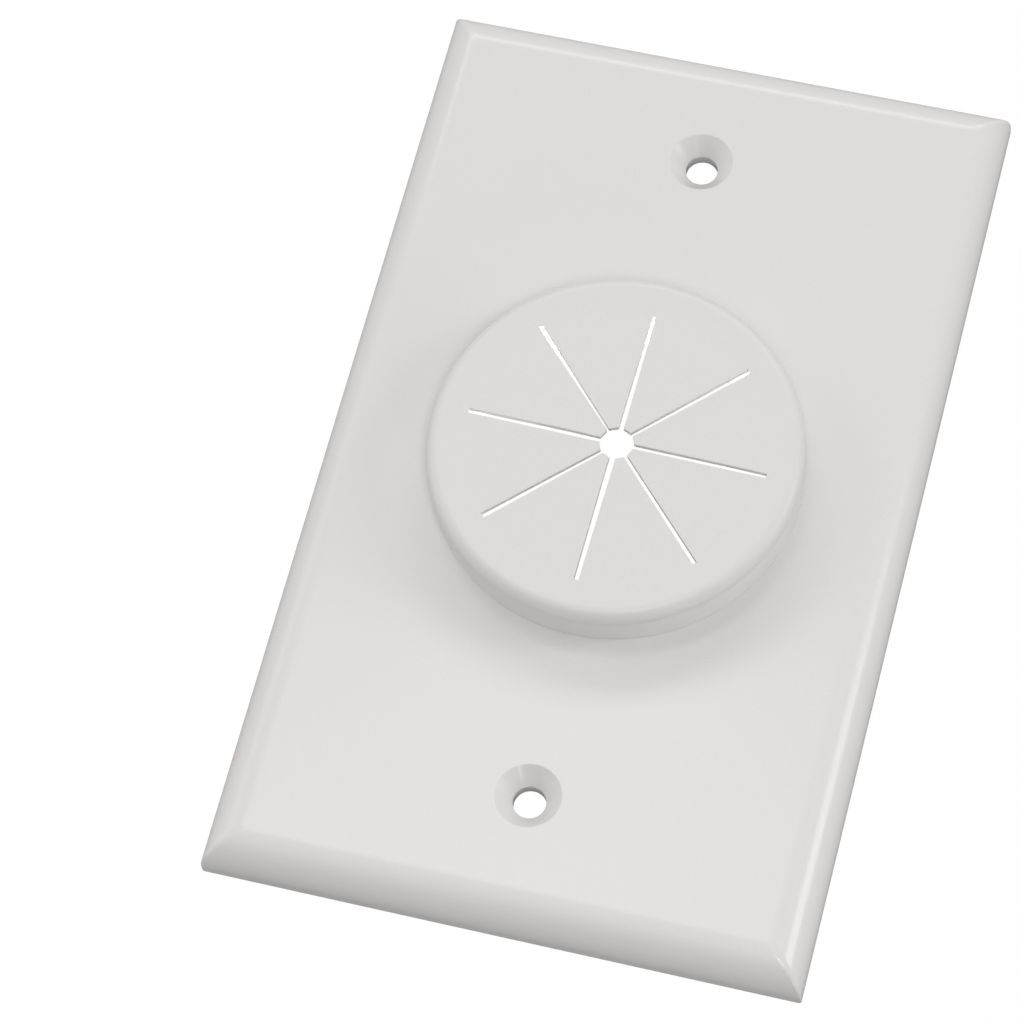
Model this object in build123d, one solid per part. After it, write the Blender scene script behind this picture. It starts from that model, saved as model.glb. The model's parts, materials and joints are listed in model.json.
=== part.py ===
from build123d import *
import math
import os

# Wall pass-through plate, single gang: a hollow moulded plate with a soft slit grommet snapped
# into its round hole. Millimetres. The origin is the centre of the back plane, which lies on the
# wall. +Y runs up the plate and +Z points out of the wall.

# Plate shell
plate_width = 69.35
plate_length = 113.5
plate_height = 5.7
edge_land = 1.3
corner_radius = 0.3
face_wall = 2.3
side_wall = 2.2

# Screw holes and the bosses behind them
screw_spacing = 83.34
screw_hole_diameter = 3.8
screw_mouth_diameter = 7.6
countersink_angle = 82.0
boss_wall = 2.2
boss_setback = 2.0

# Stiffening ribs behind the face
rib_thickness = 1.2
rib_depth = 1.2
side_rib_inset = 7.0

# Round hole that takes the grommet
grommet_hole_diameter = 39.7
hole_mouth_chamfer = 0.4
hole_mouth_angle = 90.0

# Grommet: raised ring, lip and top skin
ring_diameter = 43.4
ring_height = 4.0
ring_draft = 10.0
lip_overhang = 0.1
lip_thickness = 2.5
lip_top_radius = 1.4
lip_under_chamfer = 0.6
skin_thickness = 0.6
skin_root_chamfer = 0.5

# Grommet: neck through the plate and snap rim behind it
neck_wall = 1.5
neck_clearance = 0.1
snap_clearance = 0.1
snap_overhang = 0.9
snap_thickness = 1.6
snap_nose = 0.6
throat_chamfer = 0.4

# Star of slits in the top skin
slit_count = 8
slit_width = 0.5
slit_end_margin = 0.6
slit_turn = -1.2
hub_diameter = 4.2

# Places that follow from the sizes above
edge_radius = plate_height - edge_land
cavity_height = plate_height - face_wall
screw_radius = screw_hole_diameter / 2
mouth_radius = screw_mouth_diameter / 2
boss_radius = screw_radius + boss_wall
hole_radius = grommet_hole_diameter / 2
neck_radius = hole_radius - neck_clearance
throat_radius = neck_radius - neck_wall
ring_radius = ring_diameter / 2
lip_radius = ring_radius + lip_overhang
lip_bottom = plate_height + ring_height
grommet_top = lip_bottom + lip_thickness
snap_top = cavity_height - snap_clearance
snap_bottom = snap_top - snap_thickness
slit_reach = throat_radius - slit_end_margin


def rounded_bar(plane, across, run, height, radius):
    """Bar along the plane's normal, with both of its upper edges rounded."""
    section = Rectangle(across, height, align=(Align.CENTER, Align.MIN))
    upper_corners = section.vertices().group_by(Axis.Y)[-1]
    return extrude(plane * fillet(upper_corners, radius), amount=run, both=True)


def crowned_block(width, length, height, radius):
    """Block on the wall whose rounded upper edges meet in mitres at the corners."""
    lengthwise = rounded_bar(Plane.XZ, width, length, height, radius)
    crosswise = rounded_bar(Plane.YZ, length, width, height, radius)
    return lengthwise & crosswise


def screw_places():
    """The two screw axes, up and down the plate's centre line."""
    return [Pos(0, side * screw_spacing / 2, 0) for side in (-1, 1)]


def plate_ribs():
    """Two ribs along the sides and one across each screw boss, behind the face."""
    inner_width = plate_width - 2 * side_wall
    inner_length = plate_length - 2 * side_wall
    rib_align = (Align.CENTER, Align.CENTER, Align.MAX)
    rib_x = plate_width / 2 - side_wall - side_rib_inset
    long_rib = Box(rib_thickness, inner_length, rib_depth, align=rib_align)
    cross_rib = Box(inner_width, rib_thickness, rib_depth, align=rib_align)
    ribs = [Pos(side * rib_x, 0, cavity_height) * long_rib for side in (-1, 1)]
    ribs += [place * Pos(0, 0, cavity_height) * cross_rib for place in screw_places()]
    return ribs


def wall_plate():
    """Open-backed shell with screw bosses, ribs and the round hole."""
    outline = RectangleRounded(plate_width, plate_length, corner_radius)
    outer = crowned_block(plate_width, plate_length, plate_height, edge_radius)
    outer &= extrude(outline, amount=plate_height)
    cavity = crowned_block(
        plate_width - 2 * side_wall,
        plate_length - 2 * side_wall,
        cavity_height,
        edge_radius - side_wall,
    )
    boss_height = cavity_height - boss_setback
    boss = Cylinder(boss_radius, boss_height, align=(Align.CENTER, Align.CENTER, Align.MIN))
    bosses = [place * Pos(0, 0, boss_setback) * boss for place in screw_places()]
    plate = outer - cavity + bosses + plate_ribs()

    chamfer_radius = hole_radius + hole_mouth_chamfer
    grommet_hole = CounterSinkHole(hole_radius, chamfer_radius, plate_height, hole_mouth_angle)
    plate -= Pos(0, 0, plate_height) * grommet_hole

    screw_hole = CounterSinkHole(screw_radius, mouth_radius, plate_height, countersink_angle)
    plate -= [place * Pos(0, 0, plate_height) * screw_hole for place in screw_places()]
    return plate


def corner_of(section, radius, height):
    """Corner of a half section that lies nearest a radius and a height."""
    return section.vertices().sort_by_distance((radius, height, 0))[0]


def grommet_section():
    """Half section of the grommet from its axis out, before the slits are cut."""
    ring_top_radius = ring_radius - ring_height * math.tan(math.radians(ring_draft))
    snap_radius = neck_radius + snap_overhang
    skin_bottom = grommet_top - skin_thickness
    outline = Polyline(
        (0, skin_bottom),
        (throat_radius, skin_bottom),
        (throat_radius, snap_bottom),
        (neck_radius, snap_bottom),
        (snap_radius, snap_top - snap_nose),
        (snap_radius, snap_top),
        (neck_radius, snap_top),
        (neck_radius, plate_height),
        (ring_radius, plate_height),
        (ring_top_radius, lip_bottom),
        (lip_radius, lip_bottom),
        (lip_radius, grommet_top),
        (0, grommet_top),
        close=True,
    )
    section = make_face(outline)
    section = fillet(corner_of(section, lip_radius, grommet_top), lip_top_radius)
    section = chamfer(corner_of(section, lip_radius, lip_bottom), lip_under_chamfer)
    section = chamfer(corner_of(section, throat_radius, skin_bottom), skin_root_chamfer)
    return chamfer(corner_of(section, throat_radius, snap_bottom), throat_chamfer)


def slit_star():
    """Centre hole with slits running out from it, as one flat outline."""
    slit = Pos(slit_reach / 2, 0) * SlotOverall(slit_reach, slit_width)
    turns = [slit_turn + index * 360 / slit_count for index in range(slit_count)]
    return Circle(hub_diameter / 2) + [Rot(0, 0, turn) * slit for turn in turns]


def cable_grommet():
    """Soft moulding with a slit skin on top, a ring on the plate and a snap rim behind it."""
    body = revolve(Plane.XZ * grommet_section(), Axis.Z)
    star = Pos(0, 0, grommet_top) * slit_star()
    return body - extrude(star, amount=skin_thickness, both=True)


os.makedirs("parts", exist_ok=True)
export_step(wall_plate(), "parts/wall_plate.step")
export_step(cable_grommet(), "parts/cable_grommet.step")
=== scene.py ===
"""Dresses the single-gang wall pass-through plate and sets its stage, lights and camera.

Two moulded pieces stand for the solids of the frame: the hollow plate with its rounded, mitred
edges, and the soft grommet whose top skin is slit into petals. Lengths are in metres along the
frame's axes: +X to the right, +Y up the plate and +Z out of the wall.
"""

import json
import logging
import math
from collections.abc import Callable, Sequence
from dataclasses import dataclass
from enum import Enum

import bmesh
import bpy
from bmesh.types import BMEdge, BMesh, BMFace, BMVert
from mathutils import Matrix, Vector


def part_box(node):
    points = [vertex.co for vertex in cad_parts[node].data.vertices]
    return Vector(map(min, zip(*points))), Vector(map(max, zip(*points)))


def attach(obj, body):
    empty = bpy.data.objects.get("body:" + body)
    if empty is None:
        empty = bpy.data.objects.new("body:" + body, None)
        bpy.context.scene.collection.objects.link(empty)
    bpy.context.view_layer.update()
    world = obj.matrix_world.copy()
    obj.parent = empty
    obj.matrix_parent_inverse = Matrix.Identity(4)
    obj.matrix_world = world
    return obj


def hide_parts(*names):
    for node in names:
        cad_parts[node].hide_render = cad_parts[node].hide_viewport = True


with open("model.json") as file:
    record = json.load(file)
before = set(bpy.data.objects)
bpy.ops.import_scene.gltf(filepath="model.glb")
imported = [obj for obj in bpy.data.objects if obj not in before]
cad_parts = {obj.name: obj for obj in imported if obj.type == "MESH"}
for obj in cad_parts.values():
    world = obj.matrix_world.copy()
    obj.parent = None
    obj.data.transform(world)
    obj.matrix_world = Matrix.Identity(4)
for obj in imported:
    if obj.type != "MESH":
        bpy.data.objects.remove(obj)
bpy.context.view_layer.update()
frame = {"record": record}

MM = 0.001
FULL_TURN = 2 * math.pi
ROOT_BODY = "root"
MERGE_DISTANCE = 0.001 * MM
LEVEL_TOLERANCE = 0.01 * MM
WHITE = (1.0, 1.0, 1.0, 1.0)

log = logging.getLogger("pass_through_plate")


class Slot(Enum):
    """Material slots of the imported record."""

    PLATE = "plate_plastic"
    GROMMET = "grommet_plastic"


def mount_sizes(name: str) -> dict[str, float]:
    """Stated sizes of one of the record's mounts.

    Args:
        name: the mount's name.

    Returns:
        The mount's sizes, in millimetres.
    """
    mounts = frame["record"]["mounts"]
    return next(mount["dims"] for mount in mounts if mount["name"] == name)


# Sections and rings


@dataclass(frozen=True)
class Corner:
    """A corner of a section, with the arc that rounds it."""

    across: float
    height: float
    radius: float = 0.0
    steps: int = 4

    @property
    def point(self) -> Vector:
        """The sharp corner as a flat point."""
        return Vector((self.across, self.height))


def rounded_corner(before: Corner, here: Corner, after: Corner) -> list[Vector]:
    """Points of the arc that rounds one corner of a section.

    Args:
        before: the corner before this one.
        here: the corner to round.
        after: the corner after this one.

    Returns:
        The arc's points in order, or the corner alone where it is sharp.
    """
    if here.radius == 0:
        return [here.point]
    back = (before.point - here.point).normalized()
    ahead = (after.point - here.point).normalized()
    half_angle = back.angle(ahead) / 2
    centre = here.point + (back + ahead).normalized() * here.radius / math.sin(half_angle)
    tangent = here.radius / math.tan(half_angle)
    first = here.point + back * tangent - centre
    last = here.point + ahead * tangent - centre
    shares = [step / here.steps for step in range(here.steps + 1)]
    return [centre + first.slerp(last, share).normalized() * here.radius for share in shares]


def trace_section(corners: Sequence[Corner]) -> list[Vector]:
    """Points along an open section with its corners rounded.

    Args:
        corners: the corners in order. The first and the last are the section's ends.

    Returns:
        Flat points of distance across and height.
    """
    points = [corners[0].point]
    for before, here, after in zip(corners, corners[1:], corners[2:]):
        points.extend(rounded_corner(before, here, after))
    points.append(corners[-1].point)
    return points


def section_edges(
    shell: BMesh, points: Sequence[Vector], centre_y: float
) -> list[BMVert | BMEdge]:
    """Draws a section as a chain of edges in the plane through a vertical axis.

    Args:
        shell: the mesh being built.
        points: radius and height of each point.
        centre_y: place of the axis up the plate.

    Returns:
        The chain's vertices and edges, ready to be spun.
    """
    chain = [shell.verts.new((point.x, centre_y, point.y)) for point in points]
    links = [shell.edges.new(pair) for pair in zip(chain, chain[1:])]
    return chain + links


def spin_section(shell: BMesh, points: Sequence[Vector], centre_y: float, steps: int) -> None:
    """Turns a section once round a vertical axis.

    Args:
        shell: the mesh being built.
        points: radius and height of each point.
        centre_y: place of the axis up the plate.
        steps: steps in the full turn.
    """
    bmesh.ops.spin(
        shell,
        geom=section_edges(shell, points, centre_y),
        cent=(0, centre_y, 0),
        axis=(0, 0, 1),
        angle=FULL_TURN,
        steps=steps,
        use_merge=True,
    )


def open_edges(shell: BMesh, test: Callable[[BMVert], bool]) -> list[BMEdge]:
    """Boundary edges whose two ends both pass a test.

    Args:
        shell: the mesh being built.
        test: says whether a vertex belongs.

    Returns:
        The edges found.
    """
    return [edge for edge in shell.edges if edge.is_boundary and all(map(test, edge.verts))]


def finished_piece(shell: BMesh, name: str, crease_angle: float) -> bpy.types.Object:
    """Closes a mesh, sets its shading and links it as a piece at the origin.

    Args:
        shell: the finished mesh, which is freed.
        name: the piece's name.
        crease_angle: edges that turn further than this, in radians, stay crisp.

    Returns:
        The new object.
    """
    bmesh.ops.remove_doubles(shell, verts=shell.verts, dist=MERGE_DISTANCE)
    bmesh.ops.recalc_face_normals(shell, faces=shell.faces)
    for face in shell.faces:
        face.smooth = True
    for edge in shell.edges:
        edge.smooth = edge.calc_face_angle(math.pi) < crease_angle
    mesh = bpy.data.meshes.new(name)
    shell.to_mesh(mesh)
    shell.free()
    piece = bpy.data.objects.new(name, mesh)
    bpy.context.scene.collection.objects.link(piece)
    even = piece.modifiers.new("even_shading", "WEIGHTED_NORMAL")
    even.keep_sharp = True
    return piece


# Finishes


class SurfaceGroups:
    """Shader node groups that both plastics share."""

    drifts_per_metre: float = 6000.0
    grain_detail: float = 3.0
    tone_detail: float = 3.0
    gloss_detail: float = 2.0
    noise_low: float = 0.3
    noise_high: float = 0.7
    mix_first_colour: int = 6
    mix_second_colour: int = 7
    mix_colour_result: int = 2

    def __init__(self) -> None:
        """Builds each group once."""
        self.grain = self.build_grain()
        self.tone = self.build_tone()
        self.gloss = self.build_gloss()

    @staticmethod
    def new_group(
        name: str, inputs: dict[str, str], output: str, output_kind: str
    ) -> tuple[bpy.types.NodeTree, bpy.types.Node, bpy.types.Node]:
        """Starts a node group with named sockets.

        Args:
            name: the group's name.
            inputs: socket name to socket kind.
            output: name of the one output.
            output_kind: kind of the output.

        Returns:
            The group, its input node and its output node.
        """
        tree = bpy.data.node_groups.new(name, "ShaderNodeTree")
        for socket_name, kind in inputs.items():
            tree.interface.new_socket(socket_name, in_out="INPUT", socket_type=kind)
        tree.interface.new_socket(output, in_out="OUTPUT", socket_type=output_kind)
        return tree, tree.nodes.new("NodeGroupInput"), tree.nodes.new("NodeGroupOutput")

    @staticmethod
    def noise(
        tree: bpy.types.NodeTree,
        vector: bpy.types.NodeSocket,
        scale: bpy.types.NodeSocket | float,
        detail: float,
    ) -> bpy.types.NodeSocket:
        """Adds a noise texture on a point.

        Args:
            tree: the tree that takes the node.
            vector: socket of the point.
            scale: socket of the scale, or a number.
            detail: octaves of the noise.

        Returns:
            The noise value's socket.
        """
        node = tree.nodes.new("ShaderNodeTexNoise")
        node.inputs["Detail"].default_value = detail
        tree.links.new(vector, node.inputs["Vector"])
        if isinstance(scale, bpy.types.NodeSocket):
            tree.links.new(scale, node.inputs["Scale"])
        else:
            node.inputs["Scale"].default_value = scale
        return node.outputs["Fac"]

    def ranged(
        self,
        tree: bpy.types.NodeTree,
        value: bpy.types.NodeSocket,
        low: bpy.types.NodeSocket | float,
        high: bpy.types.NodeSocket | float,
    ) -> bpy.types.NodeSocket:
        """Maps a noise value onto a range.

        Args:
            tree: the tree that takes the node.
            value: socket of the noise.
            low: socket or number at the noise's low end.
            high: socket or number at its high end.

        Returns:
            The mapped value's socket.
        """
        node = tree.nodes.new("ShaderNodeMapRange")
        node.inputs["From Min"].default_value = self.noise_low
        node.inputs["From Max"].default_value = self.noise_high
        tree.links.new(value, node.inputs["Value"])
        for limit, socket_name in ((low, "To Min"), (high, "To Max")):
            if isinstance(limit, bpy.types.NodeSocket):
                tree.links.new(limit, node.inputs[socket_name])
            else:
                node.inputs[socket_name].default_value = limit
        return node.outputs["Result"]

    def build_grain(self) -> bpy.types.NodeTree:
        """Height of the fine pebbled texture that the mould leaves on a face.

        Returns:
            The group.
        """
        kinds = {"Point": "NodeSocketVector", "Grains per metre": "NodeSocketFloat"}
        tree, entry, leave = self.new_group("mould_grain", kinds, "Height", "NodeSocketFloat")
        pebble = tree.nodes.new("ShaderNodeTexVoronoi")
        pebble.feature = "SMOOTH_F1"
        point = entry.outputs["Point"]
        tree.links.new(point, pebble.inputs["Vector"])
        tree.links.new(entry.outputs["Grains per metre"], pebble.inputs["Scale"])
        cloud = self.noise(tree, point, entry.outputs["Grains per metre"], self.grain_detail)
        both = tree.nodes.new("ShaderNodeMath")
        both.operation = "ADD"
        tree.links.new(pebble.outputs["Distance"], both.inputs[0])
        tree.links.new(cloud, both.inputs[1])
        tree.links.new(both.outputs["Value"], leave.inputs["Height"])
        return tree

    def build_tone(self) -> bpy.types.NodeTree:
        """Colour of the plastic, drifting a little where the melt flowed and cooled.

        Returns:
            The group.
        """
        kinds = {
            "Point": "NodeSocketVector",
            "Bright": "NodeSocketColor",
            "Dull": "NodeSocketColor",
        }
        tree, entry, leave = self.new_group("melt_tone", kinds, "Color", "NodeSocketColor")
        broad = self.noise(tree, entry.outputs["Point"], self.drifts_per_metre, self.tone_detail)
        share = self.ranged(tree, broad, 0.0, 1.0)
        mix = tree.nodes.new("ShaderNodeMix")
        mix.data_type = "RGBA"
        tree.links.new(share, mix.inputs["Factor"])
        tree.links.new(entry.outputs["Dull"], mix.inputs[self.mix_first_colour])
        tree.links.new(entry.outputs["Bright"], mix.inputs[self.mix_second_colour])
        tree.links.new(mix.outputs[self.mix_colour_result], leave.inputs["Color"])
        return tree

    def build_gloss(self) -> bpy.types.NodeTree:
        """Roughness of the plastic, uneven where it was handled and polished.

        Returns:
            The group.
        """
        kinds = {
            "Point": "NodeSocketVector",
            "Smooth": "NodeSocketFloat",
            "Rough": "NodeSocketFloat",
        }
        tree, entry, leave = self.new_group("skin_gloss", kinds, "Roughness", "NodeSocketFloat")
        patches = self.noise(tree, entry.outputs["Point"], self.drifts_per_metre, self.gloss_detail)
        level = self.ranged(tree, patches, entry.outputs["Smooth"], entry.outputs["Rough"])
        tree.links.new(level, leave.inputs["Roughness"])
        return tree


@dataclass(frozen=True)
class PlasticFinish:
    """A moulded white plastic with its grain, tone and gloss."""

    name: str
    bright: tuple[float, float, float]
    dull: tuple[float, float, float]
    smooth: float
    rough: float
    grain_size: float
    grain_depth: float
    specular: float

    def material(self, groups: SurfaceGroups) -> bpy.types.Material:
        """Builds the material on the shared groups.

        Args:
            groups: the shared node groups.

        Returns:
            The finished material.
        """
        made = bpy.data.materials.new(self.name)
        made.use_nodes = True
        tree = made.node_tree
        shader = tree.nodes["Principled BSDF"]
        shader.inputs["Specular IOR Level"].default_value = self.specular
        place = tree.nodes.new("ShaderNodeTexCoord").outputs["Object"]

        tone = self.placed(tree, groups.tone, place)
        tone.inputs["Bright"].default_value = (*self.bright, 1.0)
        tone.inputs["Dull"].default_value = (*self.dull, 1.0)
        tree.links.new(tone.outputs["Color"], shader.inputs["Base Color"])

        gloss = self.placed(tree, groups.gloss, place)
        gloss.inputs["Smooth"].default_value = self.smooth
        gloss.inputs["Rough"].default_value = self.rough
        tree.links.new(gloss.outputs["Roughness"], shader.inputs["Roughness"])

        grain = self.placed(tree, groups.grain, place)
        grain.inputs["Grains per metre"].default_value = 1 / self.grain_size
        bump = tree.nodes.new("ShaderNodeBump")
        bump.inputs["Distance"].default_value = self.grain_depth
        tree.links.new(grain.outputs["Height"], bump.inputs["Height"])
        tree.links.new(bump.outputs["Normal"], shader.inputs["Normal"])
        return made

    @staticmethod
    def placed(
        tree: bpy.types.NodeTree, group: bpy.types.NodeTree, place: bpy.types.NodeSocket
    ) -> bpy.types.Node:
        """Places a shared group in a material and gives it the surface point.

        Args:
            tree: the material's tree.
            group: the shared group.
            place: socket of the point on the object.

        Returns:
            The group's node.
        """
        node = tree.nodes.new("ShaderNodeGroup")
        node.node_tree = group
        tree.links.new(place, node.inputs["Point"])
        return node


PLATE_FINISH = PlasticFinish(
    name="satin_plate_plastic",
    bright=(0.809, 0.797, 0.79),
    dull=(0.781, 0.769, 0.76),
    smooth=0.16,
    rough=0.21,
    grain_size=0.22 * MM,
    grain_depth=0.006 * MM,
    specular=0.3,
)
GROMMET_FINISH = PlasticFinish(
    name="matt_grommet_plastic",
    bright=(0.778, 0.77, 0.758),
    dull=(0.75, 0.742, 0.729),
    smooth=0.38,
    rough=0.46,
    grain_size=0.18 * MM,
    grain_depth=0.006 * MM,
    specular=0.45,
)


# Pieces


@dataclass(frozen=True)
class WallPlate:
    """The hollow plate with its screw holes, bosses, ribs and round hole."""

    width: float
    length: float
    height: float
    screw_spacing: float
    screw_radius: float
    edge_land: float = 1.3 * MM
    base_rounding: float = 0.15 * MM
    rim_rounding: float = 0.2 * MM
    corner_radius: float = 0.3 * MM
    corner_growth: float = 0.2
    face_strip: float = 0.25 * MM
    face_wall: float = 2.3 * MM
    side_wall: float = 2.2 * MM
    mouth_radius: float = 3.8 * MM
    mouth_rounding: float = 0.15 * MM
    countersink_angle: float = math.radians(82)
    boss_wall: float = 2.2 * MM
    boss_setback: float = 2.0 * MM
    boss_rounding: float = 0.25 * MM
    hole_radius: float = 19.85 * MM
    hole_chamfer: float = 0.4 * MM
    rib_thickness: float = 1.2 * MM
    rib_depth: float = 1.2 * MM
    rib_inset: float = 7.0 * MM
    rib_root: float = 0.3 * MM
    corner_steps: int = 6
    edge_steps: int = 20
    hole_steps: int = 64
    crease_angle: float = math.radians(35)

    @classmethod
    def from_frame(cls) -> "WallPlate":
        """Takes the plate's outer sizes from the frame.

        Returns:
            The plate's sizes.
        """
        low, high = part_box("wall_plate")
        size = high - low
        holes = mount_sizes("screw_holes")
        return cls(
            width=size.x,
            length=size.y,
            height=size.z,
            screw_spacing=holes["spacing_y_mm"] * MM,
            screw_radius=holes["hole_r_mm"] * MM,
        )

    @property
    def ceiling(self) -> float:
        """Height of the back of the front wall."""
        return self.height - self.face_wall

    @property
    def edge_radius(self) -> float:
        """Radius of the rounded edge of the face."""
        return self.height - self.edge_land

    def edge_section(self) -> list[Vector]:
        """Section of the rim, from the face round to the ceiling.

        Returns:
            Points of inset and height.
        """
        inner_radius = self.edge_radius - self.side_wall
        return trace_section(
            [
                Corner(self.edge_radius + self.face_strip, self.height),
                Corner(0, self.height, self.edge_radius, self.edge_steps),
                Corner(0, 0, self.base_rounding),
                Corner(self.side_wall, 0, self.rim_rounding),
                Corner(self.side_wall, self.ceiling, inner_radius, self.edge_steps),
                Corner(self.edge_radius + self.face_strip, self.ceiling),
            ]
        )

    def screw_section(self) -> list[Vector]:
        """Section of a screw hole, from the face to the ceiling.

        Returns:
            Points of radius and height.
        """
        cone_depth = (self.mouth_radius - self.screw_radius) / math.tan(self.countersink_angle / 2)
        boss_radius = self.screw_radius + self.boss_wall
        return trace_section(
            [
                Corner(self.mouth_radius + 2 * self.mouth_rounding, self.height),
                Corner(self.mouth_radius, self.height, self.mouth_rounding),
                Corner(self.screw_radius, self.height - cone_depth, self.mouth_rounding),
                Corner(self.screw_radius, self.boss_setback, self.mouth_rounding),
                Corner(boss_radius, self.boss_setback, self.boss_rounding),
                Corner(boss_radius, self.ceiling, self.boss_rounding),
                Corner(boss_radius + 2 * self.boss_rounding, self.ceiling),
            ]
        )

    def hole_section(self) -> list[Vector]:
        """Section of the grommet's hole, from the face to the ceiling.

        Returns:
            Points of radius and height.
        """
        return trace_section(
            [
                Corner(self.hole_radius + self.hole_chamfer, self.height),
                Corner(self.hole_radius, self.height - self.hole_chamfer),
                Corner(self.hole_radius, self.ceiling),
            ]
        )

    def corner_centre(self, station: Vector) -> tuple[Vector, float]:
        """Centre and radius of the outline's first corner, which softens towards the face.

        Args:
            station: inset from the plate's outline, and height.

        Returns:
            The corner's centre in the first quadrant, and its radius.
        """
        radius = self.corner_radius + self.corner_growth * station.x
        reach_x = self.width / 2 - station.x - radius
        reach_y = self.length / 2 - station.x - radius
        return Vector((reach_x, reach_y, station.y)), radius

    def quarters(self, ring: Sequence[BMVert]) -> list[tuple[Vector, list[BMVert]]]:
        """Splits a ring into its four corners.

        Args:
            ring: the ring's vertices.

        Returns:
            For each corner, the signs of its quadrant and its vertices.
        """
        signs = [Vector((side_x, side_y, 1)) for side_x in (-1, 1) for side_y in (-1, 1)]
        return [
            (sign, [v for v in ring if v.co.x * sign.x > 0 and v.co.y * sign.y > 0])
            for sign in signs
        ]

    def first_ring(self, shell: BMesh, station: Vector) -> list[BMVert]:
        """Draws the rim's first ring as a circle pulled out into a rounded rectangle.

        Args:
            shell: the mesh being built.
            station: the ring's inset and height.

        Returns:
            The ring's vertices.
        """
        centre, radius = self.corner_centre(station)
        segments = 4 * self.corner_steps
        half_step = Matrix.Rotation(math.pi / segments, 4, "Z")
        made = bmesh.ops.create_circle(shell, segments=segments, radius=radius, matrix=half_step)
        for sign, corner in self.quarters(made["verts"]):
            bmesh.ops.translate(shell, verts=corner, vec=centre * sign)
        return made["verts"]

    def next_ring(
        self, shell: BMesh, ring: Sequence[BMVert], here: Vector, there: Vector
    ) -> list[BMVert]:
        """Extrudes the rim from one station to the next.

        Args:
            shell: the mesh being built.
            ring: vertices of the ring to extrude.
            here: the ring's inset and height.
            there: inset and height of the new ring.

        Returns:
            The new ring's vertices.
        """
        members = set(ring)
        edges = [edge for edge in shell.edges if members.issuperset(edge.verts)]
        grown = bmesh.ops.extrude_edge_only(shell, edges=edges)["geom"]
        fresh = [item for item in grown if isinstance(item, BMVert)]
        centre, radius = self.corner_centre(here)
        new_centre, new_radius = self.corner_centre(there)
        share = new_radius / radius
        for sign, corner in self.quarters(fresh):
            about = Matrix.Translation(-(centre * sign))
            bmesh.ops.scale(shell, verts=corner, vec=(share, share, 1), space=about)
            bmesh.ops.translate(shell, verts=corner, vec=(new_centre - centre) * sign)
        return fresh

    def add_rim(self, shell: BMesh) -> None:
        """Extrudes the rim from the face, round its lower edge and up to the ceiling.

        Args:
            shell: the mesh being built.
        """
        section = self.edge_section()
        ring = self.first_ring(shell, section[0])
        for here, there in zip(section, section[1:]):
            ring = self.next_ring(shell, ring, here, there)

    def fill_level(self, shell: BMesh, height: float) -> None:
        """Fills the flat wall between all open rings at one height.

        Args:
            shell: the mesh being built.
            height: height of the flat wall.
        """
        rings = open_edges(shell, lambda vert: abs(vert.co.z - height) < LEVEL_TOLERANCE)
        bmesh.ops.triangle_fill(shell, edges=rings, use_beauty=True, normal=(0, 0, 1))

    def add_rib(self, shell: BMesh, centre: Vector, length_x: float, length_y: float) -> None:
        """Adds one stiffening rib, rooted a little into the front wall.

        Args:
            shell: the mesh being built.
            centre: the rib's place on the plate.
            length_x: size across the plate.
            length_y: size up the plate.
        """
        depth = self.rib_depth + self.rib_root
        middle = self.ceiling + self.rib_root - depth / 2
        place = Matrix.Translation((centre.x, centre.y, middle))
        size = Matrix.Diagonal((length_x, length_y, depth, 1))
        bmesh.ops.create_cube(shell, size=1, matrix=place @ size)

    def add_ribs(self, shell: BMesh) -> None:
        """Adds a rib along each side, and arms from each screw boss that butt against them.

        Args:
            shell: the mesh being built.
        """
        inner_width = self.width - 2 * self.side_wall
        inner_length = self.length - 2 * self.side_wall
        rib_x = inner_width / 2 - self.rib_inset
        rib_half = self.rib_thickness / 2
        inner_arm = (self.screw_radius + self.boss_wall / 2, rib_x - rib_half)
        outer_arm = (rib_x + rib_half, inner_width / 2)
        for side in (-1, 1):
            self.add_rib(shell, Vector((side * rib_x, 0)), self.rib_thickness, inner_length)
            for end in (-1, 1):
                for start, stop in (inner_arm, outer_arm):
                    centre = Vector((side * (start + stop) / 2, end * self.screw_spacing / 2))
                    self.add_rib(shell, centre, stop - start, self.rib_thickness)

    def build(self) -> bpy.types.Object:
        """Models the plate.

        Returns:
            The plate as one piece.
        """
        shell = bmesh.new()
        self.add_rim(shell)
        for end in (-1, 1):
            spin_section(shell, self.screw_section(), end * self.screw_spacing / 2, self.hole_steps)
        spin_section(shell, self.hole_section(), 0, 2 * self.hole_steps)
        self.fill_level(shell, self.height)
        self.fill_level(shell, self.ceiling)
        self.add_ribs(shell)
        return finished_piece(shell, "moulded_plate", self.crease_angle)

    def dress(self, piece: bpy.types.Object, material: bpy.types.Material) -> None:
        """Gives the plate its plastic and ties it to the frame.

        Args:
            piece: the modelled plate.
            material: its plastic.
        """
        piece.data.materials.append(material)
        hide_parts("wall_plate")
        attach(piece, ROOT_BODY)


@dataclass(frozen=True)
class Curl:
    """A swelling along one cut edge of a petal, centred at a share of the slit's length."""

    height: float
    centre: float
    spread: float

    def at(self, share: float) -> float:
        """Height of the swelling at a share of the slit's length."""
        return self.height * math.exp(-(((share - self.centre) / self.spread) ** 2))


FLAT_EDGE = Curl(height=0.0, centre=0.5, spread=1.0)


@dataclass(frozen=True)
class Petal:
    """One petal of the skin and the slit that starts it, going round from the right."""

    hub_width: float
    end_width: float
    tip_lift: float = 0.0
    first_curl: Curl = FLAT_EDGE
    second_curl: Curl = FLAT_EDGE
    short_steps: int = 0

    def slit_width(self, share: float) -> float:
        """Width of the slit at a share of its length."""
        return self.hub_width + (self.end_width - self.hub_width) * min(max(share, 0), 1)


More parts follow.
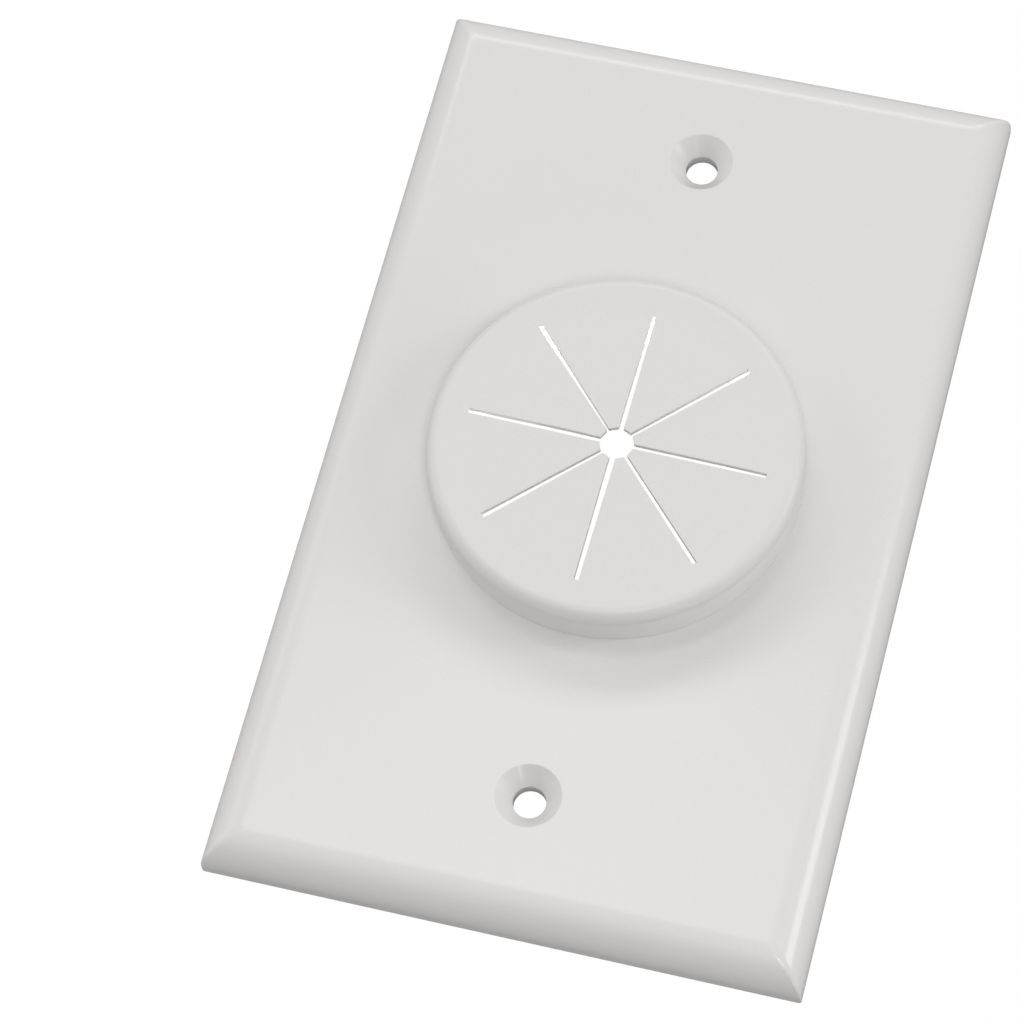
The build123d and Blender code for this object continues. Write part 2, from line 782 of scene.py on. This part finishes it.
@dataclass(frozen=True)
class CableGrommet:
    """The soft moulding with its slit skin, lip, ring, neck and snap rim."""

    top: float
    lip_radius: float
    snap_bottom: float
    seat: float
    hub_radius: float
    petals: tuple[Petal, ...]
    lip_overhang: float = 0.1 * MM
    lip_thickness: float = 2.5 * MM
    lip_rounding: float = 1.4 * MM
    under_rounding: float = 0.6 * MM
    ring_draft: float = math.radians(16)
    seat_rounding: float = 0.2 * MM
    skin: float = 0.6 * MM
    skin_root: float = 0.5 * MM
    neck_radius: float = 19.75 * MM
    neck_wall: float = 1.5 * MM
    snap_overhang: float = 0.9 * MM
    snap_thickness: float = 1.6 * MM
    snap_nose: float = 0.6 * MM
    throat_chamfer: float = 0.4 * MM
    slit_margin: float = 0.6 * MM
    slit_rounding: float = 0.1 * MM
    slit_turn: float = math.radians(-1.2)
    star_shift: tuple[float, float] = (0.15 * MM, 0.18 * MM)
    skin_sag: float = 0.13 * MM
    curl_span: float = 1.6 * MM
    petal_lines: int = 20
    skin_steps: int = 18
    lip_steps: int = 12
    under_steps: int = 8
    root_steps: int = 6
    slit_edge_steps: int = 3
    hub_share: float = 0.001
    crease_angle: float = math.radians(40)

    @classmethod
    def from_frame(cls, petals: tuple[Petal, ...]) -> "CableGrommet":
        """Takes the grommet's outer sizes from the frame.

        Args:
            petals: how each petal sits, from the right-hand slit round.

        Returns:
            The grommet's sizes.
        """
        low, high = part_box("cable_grommet")
        return cls(
            top=high.z,
            lip_radius=(high.x - low.x) / 2,
            snap_bottom=low.z,
            seat=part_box("wall_plate")[1].z,
            hub_radius=mount_sizes("cable_hub")["r_mm"] * MM,
            petals=petals,
        )

    @property
    def throat_radius(self) -> float:
        """Radius of the clear throat behind the skin."""
        return self.neck_radius - self.neck_wall

    @property
    def slit_reach(self) -> float:
        """Radius at which the slits end."""
        return self.throat_radius - self.slit_margin

    @property
    def skin_limit(self) -> float:
        """Height that parts the top skin from the body below it."""
        return self.top - 2 * self.skin

    @property
    def sector(self) -> float:
        """Angle from one slit to the next."""
        return FULL_TURN / len(self.petals)

    def skin_radii(self) -> list[float]:
        """Radii across the slit part of the skin, from the hub to the slits' ends."""
        span = self.slit_reach - self.hub_radius
        return [self.hub_radius + span * step / self.skin_steps for step in range(self.skin_steps)]

    def section(self) -> list[Vector]:
        """Open section, from the hub's top edge round to its lower edge.

        Returns:
            Points of radius and height.
        """
        lip_bottom = self.top - self.lip_thickness
        ring_radius = self.lip_radius - self.lip_overhang
        ring_top = ring_radius - (lip_bottom - self.seat) * math.tan(self.ring_draft)
        snap_top = self.snap_bottom + self.snap_thickness
        snap_radius = self.neck_radius + self.snap_overhang
        skin_bottom = self.top - self.skin
        body = trace_section(
            [
                Corner(self.slit_reach, self.top),
                Corner(self.lip_radius, self.top, self.lip_rounding, self.lip_steps),
                Corner(self.lip_radius, lip_bottom, self.under_rounding, self.under_steps),
                Corner(ring_top, lip_bottom),
                Corner(ring_radius, self.seat, self.seat_rounding),
                Corner(self.neck_radius, self.seat),
                Corner(self.neck_radius, snap_top),
                Corner(snap_radius, snap_top),
                Corner(snap_radius, snap_top - self.snap_nose),
                Corner(self.neck_radius, self.snap_bottom),
                Corner(self.throat_radius + self.throat_chamfer, self.snap_bottom),
                Corner(self.throat_radius, self.snap_bottom + self.throat_chamfer),
                Corner(self.throat_radius, skin_bottom, self.skin_root, self.root_steps),
                Corner(self.slit_reach, skin_bottom),
            ]
        )
        radii = self.skin_radii()
        upper = [Vector((radius, self.top)) for radius in radii]
        under = [Vector((radius, skin_bottom)) for radius in reversed(radii)]
        return upper + body + under

    def line_of(self, vert: BMVert) -> int:
        """Number of the radial line that a freshly spun vertex lies on."""
        lines = self.petal_lines * len(self.petals)
        return round(math.atan2(vert.co.y, vert.co.x) / FULL_TURN * lines) % lines

    def slit_share(self, radius: float) -> float:
        """Share of the slits' length that lies within a radius."""
        return (radius - self.hub_radius) / (self.slit_reach - self.hub_radius)

    def petal_place(self, line: int, radius: float) -> Vector:
        """Place of a vertex once the radial lines are gathered into petals.

        Args:
            line: number of the vertex's radial line.
            radius: its distance from the axis.

        Returns:
            Its place across and up the skin.
        """
        number, step = divmod(line, self.petal_lines)
        share = self.slit_share(radius)
        after = self.petals[(number + 1) % len(self.petals)]
        first_gap = math.asin(self.petals[number].slit_width(share) / 2 / radius)
        second_gap = math.asin(after.slit_width(share) / 2 / radius)
        span = self.sector - first_gap - second_gap
        turn = first_gap + step / (self.petal_lines - 1) * span
        if share < self.hub_share:
            radius *= math.cos(self.sector / 2) / math.cos(turn - self.sector / 2)
        turn += number * self.sector
        return radius * Vector((math.cos(turn), math.sin(turn)))

    def is_slit(self, face: BMFace, lines: dict[BMVert, int]) -> bool:
        """Says whether a face of the spun skin lies in a slit.

        Args:
            face: the face.
            lines: radial line of each vertex.

        Returns:
            True where the face has to go.
        """
        places = [divmod(lines[vert], self.petal_lines) for vert in face.verts]
        if {step for number, step in places} != {0, self.petal_lines - 1}:
            return False
        slit = next(number for number, step in places if step == 0)
        middle = face.calc_center_median()
        reach = 1 - self.petals[slit].short_steps / self.skin_steps
        return self.slit_share(middle.xy.length) < reach and middle.z > self.skin_limit

    def open_slits(self, shell: BMesh) -> None:
        """Gathers the radial lines into petals and removes the strips between them.

        Args:
            shell: the freshly spun grommet.
        """
        lines = {vert: self.line_of(vert) for vert in shell.verts}
        for vert, line in lines.items():
            vert.co.xy = self.petal_place(line, vert.co.xy.length)
        strips = [face for face in shell.faces if self.is_slit(face, lines)]
        bmesh.ops.delete(shell, geom=strips, context="FACES")

    def close_slits(self, shell: BMesh) -> None:
        """Walls the slits between the skin's two faces and softens their upper edges.

        Args:
            shell: the grommet with its slits open.
        """
        middle = self.top - self.skin / 2
        upper = open_edges(shell, lambda vert: vert.co.z > middle)
        under = open_edges(shell, lambda vert: vert.co.z < middle)
        bmesh.ops.bridge_loops(shell, edges=upper + under)
        bmesh.ops.bevel(
            shell,
            geom=upper,
            offset=self.slit_rounding,
            offset_type="OFFSET",
            affect="EDGES",
            segments=self.slit_edge_steps,
            profile=0.5,
            material=-1,
            clamp_overlap=True,
        )

    def set_petals(self, shell: BMesh) -> None:
        """Lets each petal lift a little, with its long edges curled as they were cut.

        Args:
            shell: the grommet with its slits walled.
        """
        flat_radius = self.lip_radius - self.lip_rounding
        for vert in shell.verts:
            radius = vert.co.xy.length
            if radius >= flat_radius or vert.co.z < self.skin_limit:
                continue
            turn = math.atan2(vert.co.y, vert.co.x) % FULL_TURN
            number, along = divmod(turn / self.sector, 1)
            petal = self.petals[int(number)]
            share = self.slit_share(radius)
            arc = self.sector * radius / self.curl_span
            curl = petal.first_curl.at(share) * math.exp(-((along * arc) ** 2))
            curl += petal.second_curl.at(share) * math.exp(-(((1 - along) * arc) ** 2))
            hold = min((flat_radius - radius) / (flat_radius - self.slit_reach), 1)
            vert.co.z += (curl - self.skin_sag) * hold + petal.tip_lift * max(1 - share, 0) ** 2
            vert.co.xy += Vector(self.star_shift) * hold

    def build(self) -> bpy.types.Object:
        """Models the grommet.

        Returns:
            The grommet as one piece.
        """
        shell = bmesh.new()
        spin_section(shell, self.section(), 0, self.petal_lines * len(self.petals))
        self.open_slits(shell)
        self.close_slits(shell)
        self.set_petals(shell)
        turn = Matrix.Rotation(self.slit_turn, 3, "Z")
        bmesh.ops.rotate(shell, verts=shell.verts, cent=(0, 0, 0), matrix=turn)
        return finished_piece(shell, "slit_grommet", self.crease_angle)

    def dress(self, piece: bpy.types.Object, material: bpy.types.Material) -> None:
        """Gives the grommet its plastic and ties it to the frame.

        Args:
            piece: the modelled grommet.
            material: its plastic.
        """
        piece.data.materials.append(material)
        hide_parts("cable_grommet")
        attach(piece, ROOT_BODY)


PETALS = (
    Petal(
        hub_width=0.55 * MM,
        end_width=0.50 * MM,
        tip_lift=0.04 * MM,
        first_curl=Curl(height=0.12 * MM, centre=0.65, spread=0.35),
        second_curl=Curl(height=0.12 * MM, centre=0.85, spread=0.25),
    ),
    Petal(
        hub_width=0.50 * MM,
        end_width=0.60 * MM,
        tip_lift=-0.03 * MM,
        second_curl=Curl(height=0.10 * MM, centre=0.75, spread=0.25),
    ),
    Petal(
        hub_width=0.62 * MM,
        end_width=0.42 * MM,
        short_steps=1,
    ),
    Petal(
        hub_width=0.28 * MM,
        end_width=0.58 * MM,
        tip_lift=0.03 * MM,
        second_curl=Curl(height=0.12 * MM, centre=0.35, spread=0.30),
    ),
    Petal(
        hub_width=0.58 * MM,
        end_width=0.55 * MM,
        tip_lift=-0.03 * MM,
    ),
    Petal(
        hub_width=0.50 * MM,
        end_width=0.66 * MM,
        tip_lift=0.02 * MM,
    ),
    Petal(
        hub_width=0.75 * MM,
        end_width=0.56 * MM,
        first_curl=Curl(height=0.06 * MM, centre=0.15, spread=0.20),
        second_curl=Curl(height=0.06 * MM, centre=0.50, spread=0.25),
    ),
    Petal(
        hub_width=0.45 * MM,
        end_width=0.52 * MM,
        tip_lift=0.02 * MM,
    ),
)


# Stage, lights and camera


@dataclass(frozen=True)
class Stage:
    """Plain pale floor and backdrop that read white to the camera."""

    floor_side: float = 6.0
    floor_drop: float = 0.02 * MM
    floor_bounce: float = 0.42
    floor_roughness: float = 0.9
    sky_fill: float = 0.35

    def build(self) -> bpy.types.Object:
        """Builds the floor and the surrounding light.

        Returns:
            The floor.
        """
        shell = bmesh.new()
        lower = Matrix.Translation((0, 0, -self.floor_drop))
        half_side = self.floor_side / 2
        bmesh.ops.create_grid(shell, x_segments=1, y_segments=1, size=half_side, matrix=lower)
        mesh = bpy.data.meshes.new("floor")
        shell.to_mesh(mesh)
        shell.free()
        floor = bpy.data.objects.new("floor", mesh)
        bpy.context.scene.collection.objects.link(floor)
        mesh.materials.append(self.floor_material())
        self.light_world()
        return floor

    def floor_material(self) -> bpy.types.Material:
        """White to the camera, and a pale matt sheet to every other ray.

        Returns:
            The floor's material.
        """
        made = bpy.data.materials.new("pale_floor")
        made.use_nodes = True
        tree = made.node_tree
        sheet = tree.nodes["Principled BSDF"]
        sheet.inputs["Base Color"].default_value = (*[self.floor_bounce] * 3, 1.0)
        sheet.inputs["Roughness"].default_value = self.floor_roughness
        glow = tree.nodes.new("ShaderNodeEmission")
        seen = tree.nodes.new("ShaderNodeLightPath")
        mix = tree.nodes.new("ShaderNodeMixShader")
        tree.links.new(seen.outputs["Is Camera Ray"], mix.inputs["Fac"])
        tree.links.new(sheet.outputs["BSDF"], mix.inputs[1])
        tree.links.new(glow.outputs["Emission"], mix.inputs[2])
        tree.links.new(mix.outputs["Shader"], tree.nodes["Material Output"].inputs["Surface"])
        return made

    def light_world(self) -> None:
        """Gives the world a soft fill, and white where the camera sees past the floor."""
        world = bpy.data.worlds.new("studio")
        bpy.context.scene.world = world
        world.use_nodes = True
        tree = world.node_tree
        fill = tree.nodes["Background"]
        fill.inputs["Color"].default_value = WHITE
        fill.inputs["Strength"].default_value = self.sky_fill
        white = tree.nodes.new("ShaderNodeBackground")
        white.inputs["Color"].default_value = WHITE
        seen = tree.nodes.new("ShaderNodeLightPath")
        mix = tree.nodes.new("ShaderNodeMixShader")
        tree.links.new(seen.outputs["Is Camera Ray"], mix.inputs["Fac"])
        tree.links.new(fill.outputs["Background"], mix.inputs[1])
        tree.links.new(white.outputs["Background"], mix.inputs[2])
        tree.links.new(mix.outputs["Shader"], tree.nodes["World Output"].inputs["Surface"])


@dataclass(frozen=True)
class SoftBox:
    """A studio light that faces the plate."""

    name: str
    azimuth: float
    elevation: float
    distance: float
    wide: float
    tall: float
    power: float

    def build(self) -> bpy.types.Object:
        """Places the light on its bearing round the plate.

        Returns:
            The light.
        """
        lamp = bpy.data.lights.new(self.name, "AREA")
        lamp.shape = "RECTANGLE"
        lamp.size = self.wide
        lamp.size_y = self.tall
        lamp.energy = self.power
        light = bpy.data.objects.new(self.name, lamp)
        bpy.context.scene.collection.objects.link(light)
        bearing = Vector(
            (
                math.cos(self.azimuth) * math.cos(self.elevation),
                math.sin(self.azimuth) * math.cos(self.elevation),
                math.sin(self.elevation),
            )
        )
        light.location = bearing * self.distance
        light.rotation_euler = (-bearing).to_track_quat("-Z", "Y").to_euler()
        return light


SOFT_BOXES = (
    SoftBox(
        name="front_box",
        azimuth=math.radians(-65),
        elevation=math.radians(62),
        distance=0.61,
        wide=0.15,
        tall=0.15,
        power=0.83,
    ),
    SoftBox(
        name="low_front_box",
        azimuth=math.radians(-57),
        elevation=math.radians(17),
        distance=1.0,
        wide=0.07,
        tall=0.20,
        power=0.42,
    ),
    SoftBox(
        name="back_strip",
        azimuth=math.radians(106),
        elevation=math.radians(41),
        distance=1.0,
        wide=1.06,
        tall=0.21,
        power=2.80,
    ),
    SoftBox(
        name="high_back_box",
        azimuth=math.radians(128),
        elevation=math.radians(73),
        distance=1.0,
        wide=0.30,
        tall=0.20,
        power=0.56,
    ),
    SoftBox(
        name="right_strip",
        azimuth=math.radians(18.5),
        elevation=math.radians(29),
        distance=1.0,
        wide=0.19,
        tall=0.40,
        power=1.50,
    ),
    SoftBox(
        name="left_box",
        azimuth=math.radians(169),
        elevation=math.radians(33),
        distance=1.0,
        wide=0.50,
        tall=0.34,
        power=0.80,
    ),
    SoftBox(
        name="low_left_box",
        azimuth=math.radians(184),
        elevation=math.radians(11),
        distance=1.0,
        wide=0.66,
        tall=0.34,
        power=1.10,
    ),
    SoftBox(
        name="low_right_box",
        azimuth=math.radians(2),
        elevation=math.radians(11),
        distance=1.0,
        wide=0.30,
        tall=0.34,
        power=0.90,
    ),
)


@dataclass(frozen=True)
class ThroatGlow:
    """Light from the pale ground behind the plate, on the throat's wall beyond the slits' ends."""

    bearings: tuple[float, ...] = tuple(math.radians(turn) for turn in (44, 89, 134, 179))
    reach: float = 8.0 * MM
    height: float = 5.0 * MM
    radius: float = 2.5 * MM
    power: float = 0.0011

    def build(self) -> list[bpy.types.Object]:
        """Places a light behind each far slit, facing the wall and out of the camera's sight.

        Returns:
            The lights.
        """
        return [self.build_light(bearing) for bearing in self.bearings]

    def build_light(self, bearing: float) -> bpy.types.Object:
        """Places one of the lights.

        Args:
            bearing: the light's direction from the grommet's axis.

        Returns:
            The light.
        """
        lamp = bpy.data.lights.new("throat_glow", "AREA")
        lamp.shape = "DISK"
        lamp.size = 2 * self.radius
        lamp.energy = self.power
        light = bpy.data.objects.new("throat_glow", lamp)
        bpy.context.scene.collection.objects.link(light)
        outward = Vector((math.cos(bearing), math.sin(bearing), 0))
        light.location = outward * self.reach + Vector((0, 0, self.height))
        light.rotation_euler = outward.to_track_quat("-Z", "Y").to_euler()
        light.visible_camera = False
        return light


@dataclass(frozen=True)
class PhotoCamera:
    """Camera at the photograph's viewpoint, fitted to the plate's edges."""

    position: tuple[float, float, float] = (73.01 * MM, -207.2 * MM, 458.53 * MM)
    target: tuple[float, float, float] = (-10.85 * MM, -7.91 * MM, 5.66 * MM)
    roll: float = math.radians(-9.2)
    lens_mm: float = 153.42
    sensor_mm: float = 36.0
    near_clip: float = 10 * MM

    def build(self) -> bpy.types.Object:
        """Makes the camera and sets it as the scene's own.

        Returns:
            The camera.
        """
        lens = bpy.data.cameras.new("photo_camera")
        lens.lens = self.lens_mm
        lens.sensor_width = self.sensor_mm
        lens.clip_start = self.near_clip
        camera = bpy.data.objects.new("photo_camera", lens)
        bpy.context.scene.collection.objects.link(camera)
        place = Vector(self.position)
        aim = (Vector(self.target) - place).to_track_quat("-Z", "Y").to_matrix().to_4x4()
        camera.matrix_world = Matrix.Translation(place) @ aim @ Matrix.Rotation(self.roll, 4, "Z")
        bpy.context.scene.camera = camera
        return camera


def main() -> None:
    """Builds the pieces, the stage, the lights and the camera."""
    logging.basicConfig(level=logging.INFO, format="%(name)s: %(message)s")
    groups = SurfaceGroups()

    plate = WallPlate.from_frame()
    plate_piece = plate.build()
    plate.dress(plate_piece, PLATE_FINISH.material(groups))
    log.info("%s: %d faces", plate_piece.name, len(plate_piece.data.polygons))

    grommet = CableGrommet.from_frame(PETALS)
    grommet_piece = grommet.build()
    grommet.dress(grommet_piece, GROMMET_FINISH.material(groups))
    log.info("%s: %d faces", grommet_piece.name, len(grommet_piece.data.polygons))

    floor = Stage().build()
    log.info("%s laid", floor.name)
    for box in SOFT_BOXES:
        log.info("%s set", box.build().name)
    log.info("%d throat lights set", len(ThroatGlow().build()))
    log.info("%s set", PhotoCamera().build().name)
    bpy.context.scene.view_settings.view_transform = "Standard"


if __name__ == "__main__":
    main()
